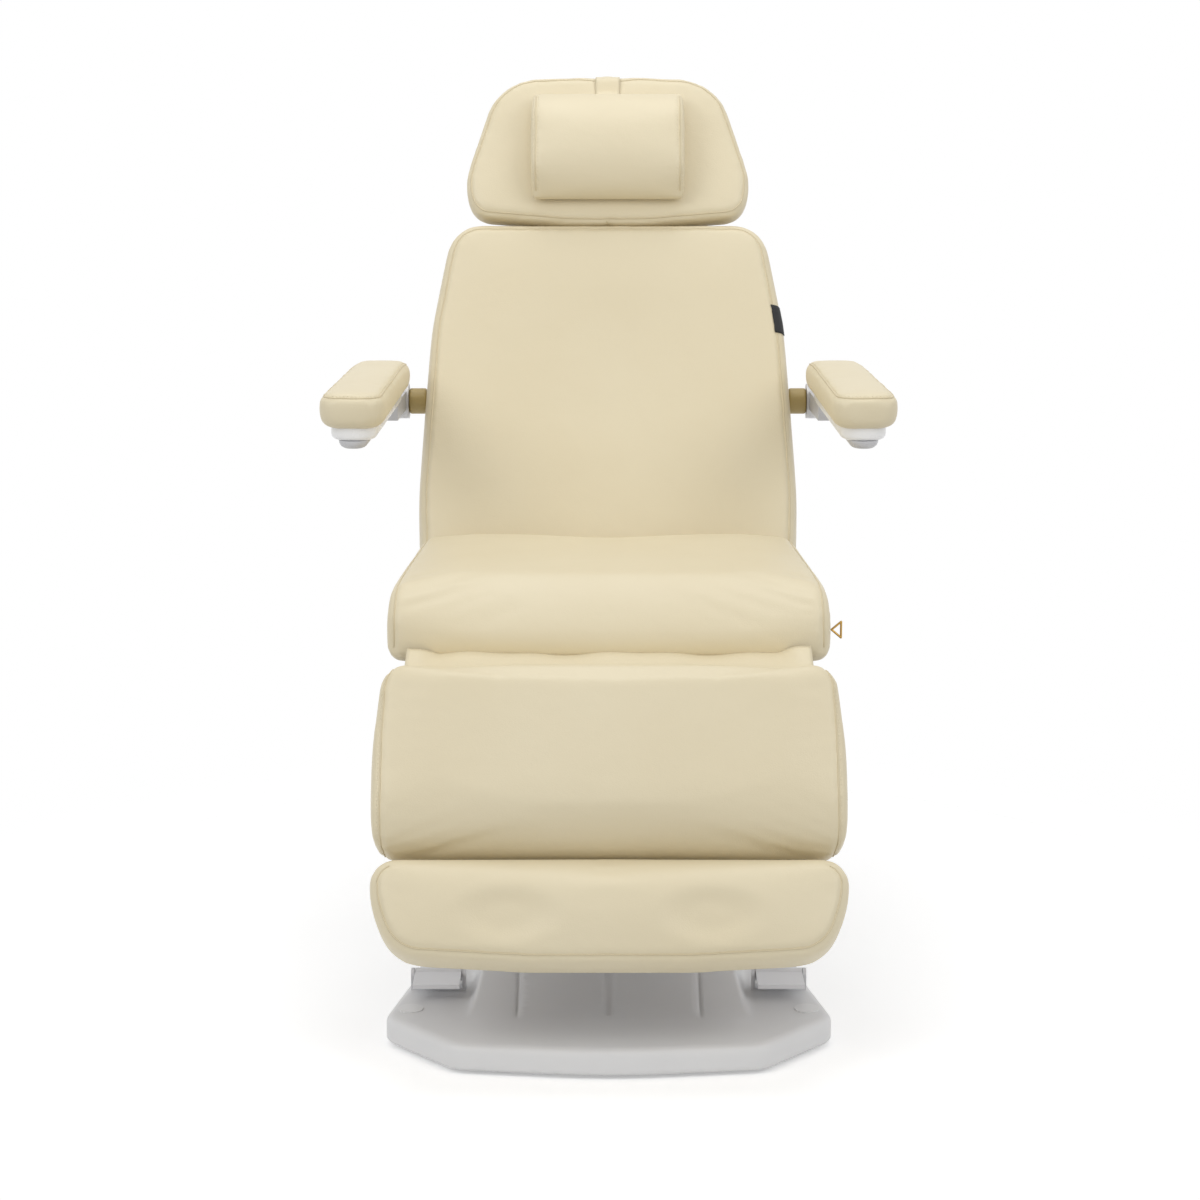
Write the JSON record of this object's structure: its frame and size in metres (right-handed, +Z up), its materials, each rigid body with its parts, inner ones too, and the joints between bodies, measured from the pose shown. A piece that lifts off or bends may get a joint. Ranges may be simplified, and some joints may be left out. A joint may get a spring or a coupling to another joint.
{
  "type": "electric procedure chair",
  "caption": "Electric procedure chair with a moulded base, lift column, reclining padded back, head pillow, swing-up arms, rising leg pad and sliding foot pad.",
  "frame": {"origin": "on the floor under the lift column, at the middle of the base", "axes": "+Z up, the sitter faces -Y, +X is to the right of a viewer who faces the chair"},
  "size_m": [0.8056, 1.1222, 1.2858],
  "materials": {
    "vinyl": "satin",
    "white_shell": "gloss",
    "base_plastic": "satin",
    "grey_metal": "satin",
    "frame_steel": "satin",
    "bright_steel": "satin",
    "drive_casing": "satin",
    "black_plastic": "matte",
    "bronze_bush": "satin",
    "plywood": "matte",
    "rubber_foot": "matte",
    "brass_ring": "polished",
    "black_tag": "matte"
  },
  "bodies": {
    "base": {"base_frame": "frame_steel", "base_cover": "base_plastic", "levelling_feet": "rubber_foot", "foot_caps": "base_plastic", "column_outer": "frame_steel", "column_bolts": "bright_steel", "shroud_lower": "base_plastic", "lift_actuator": "drive_casing", "control_box": "black_plastic", "power_inlet": "black_plastic", "pedal_brackets": "grey_metal"},
    "column_stage": {"column_middle": "frame_steel", "shroud_middle": "base_plastic", "middle_glides": "black_plastic"},
    "seat": {"column_inner": "frame_steel", "inner_glides": "black_plastic", "shroud_upper": "base_plastic", "lift_rod": "bright_steel", "top_plate": "frame_steel", "seat_frame": "frame_steel", "seat_board": "plywood", "seat_cushion": "vinyl", "seat_tray": "base_plastic", "hinge_pins": "bright_steel", "back_actuator": "drive_casing", "leg_actuator": "drive_casing", "accessory_ring": "brass_ring", "seat_bolts": "bright_steel"},
    "back": {"back_frame": "frame_steel", "back_bushes": "bronze_bush", "back_board": "plywood", "back_cushion": "vinyl", "back_cover": "base_plastic", "arm_shaft": "bright_steel", "arm_sleeves": "vinyl", "side_tag": "black_tag", "head_bracket": "frame_steel"},
    "head": {"head_frame": "frame_steel", "head_board": "plywood", "head_cushion": "vinyl", "head_pillow": "vinyl", "pillow_strap": "vinyl"},
    "leg": {"leg_frame": "frame_steel", "leg_bushes": "bronze_bush", "leg_board": "plywood", "leg_cushion": "vinyl", "leg_cover": "base_plastic"},
    "foot": {"foot_slides": "bright_steel", "foot_board": "plywood", "foot_cushion": "vinyl"},
    "left_arm": {"left_arm_bracket": "grey_metal", "left_arm_shell": "white_shell", "left_arm_pad": "vinyl"},
    "right_arm": {"right_arm_bracket": "grey_metal", "right_arm_shell": "white_shell", "right_arm_pad": "vinyl"},
    "back_drive_rod": {"back_rod": "bright_steel"},
    "leg_drive_rod": {"leg_rod": "bright_steel"},
    "left_foot_pedal": {"left_pedal": "grey_metal"},
    "right_foot_pedal": {"right_pedal": "grey_metal"}
  },
  "joints": [
    {"name": "lift_slide", "type": "slide", "parent": "base", "child": "seat", "axis": [0, 0, 1], "range_m": [0, 0.28]},
    {"name": "column_stage_slide", "type": "slide", "parent": "base", "child": "column_stage", "axis": [0, 0, 1], "range_m": [0, 0.14]},
    {"name": "back_recline", "type": "hinge", "parent": "seat", "child": "back", "pos_m": [0, 0.223, 0.52], "axis": [-1, 0, 0], "range_deg": [0, 65]},
    {"name": "back_rod_slide", "type": "slide", "parent": "seat", "child": "back_drive_rod", "axis": [0, -1, 0], "range_m": [0, 0.102]},
    {"name": "leg_raise", "type": "hinge", "parent": "seat", "child": "leg", "pos_m": [0, -0.25, 0.5], "axis": [-1, 0, 0], "range_deg": [0, 60]},
    {"name": "leg_rod_slide", "type": "slide", "parent": "seat", "child": "leg_drive_rod", "axis": [0, -1, 0], "range_m": [0, 0.0925]},
    {"name": "foot_extend", "type": "slide", "parent": "leg", "child": "foot", "axis": [0, -0.5, -0.866], "range_m": [0, 0.1]},
    {"name": "head_tilt", "type": "hinge", "parent": "back", "child": "head", "pos_m": [0, 0.46093, 1.03025], "axis": [-1, 0, 0], "range_deg": [0, 35]},
    {"name": "left_arm_lift", "type": "hinge", "parent": "back", "child": "left_arm", "pos_m": [0, 0.35797, 0.78697], "axis": [-1, 0, 0], "range_deg": [0, 95]},
    {"name": "right_arm_lift", "type": "hinge", "parent": "back", "child": "right_arm", "pos_m": [0, 0.35797, 0.78697], "axis": [-1, 0, 0], "range_deg": [0, 95]},
    {"name": "left_pedal_rock", "type": "hinge", "parent": "base", "child": "left_foot_pedal", "pos_m": [0, -0.252, 0.062], "axis": [1, 0, 0], "range_deg": [-6, 6], "stiffness_Nm_per_rad": 6},
    {"name": "right_pedal_rock", "type": "hinge", "parent": "base", "child": "right_foot_pedal", "pos_m": [0, -0.252, 0.062], "axis": [1, 0, 0], "range_deg": [-6, 6], "stiffness_Nm_per_rad": 6}
  ],
  "couplings": [
    {"joint": "column_stage_slide", "follows": "lift_slide", "ratio": 0.5},
    {"joint": "back_rod_slide", "follows": "back_recline", "m_per_rad": 0.08985},
    {"joint": "leg_rod_slide", "follows": "leg_raise", "m_per_rad": 0.088213}
  ]
}
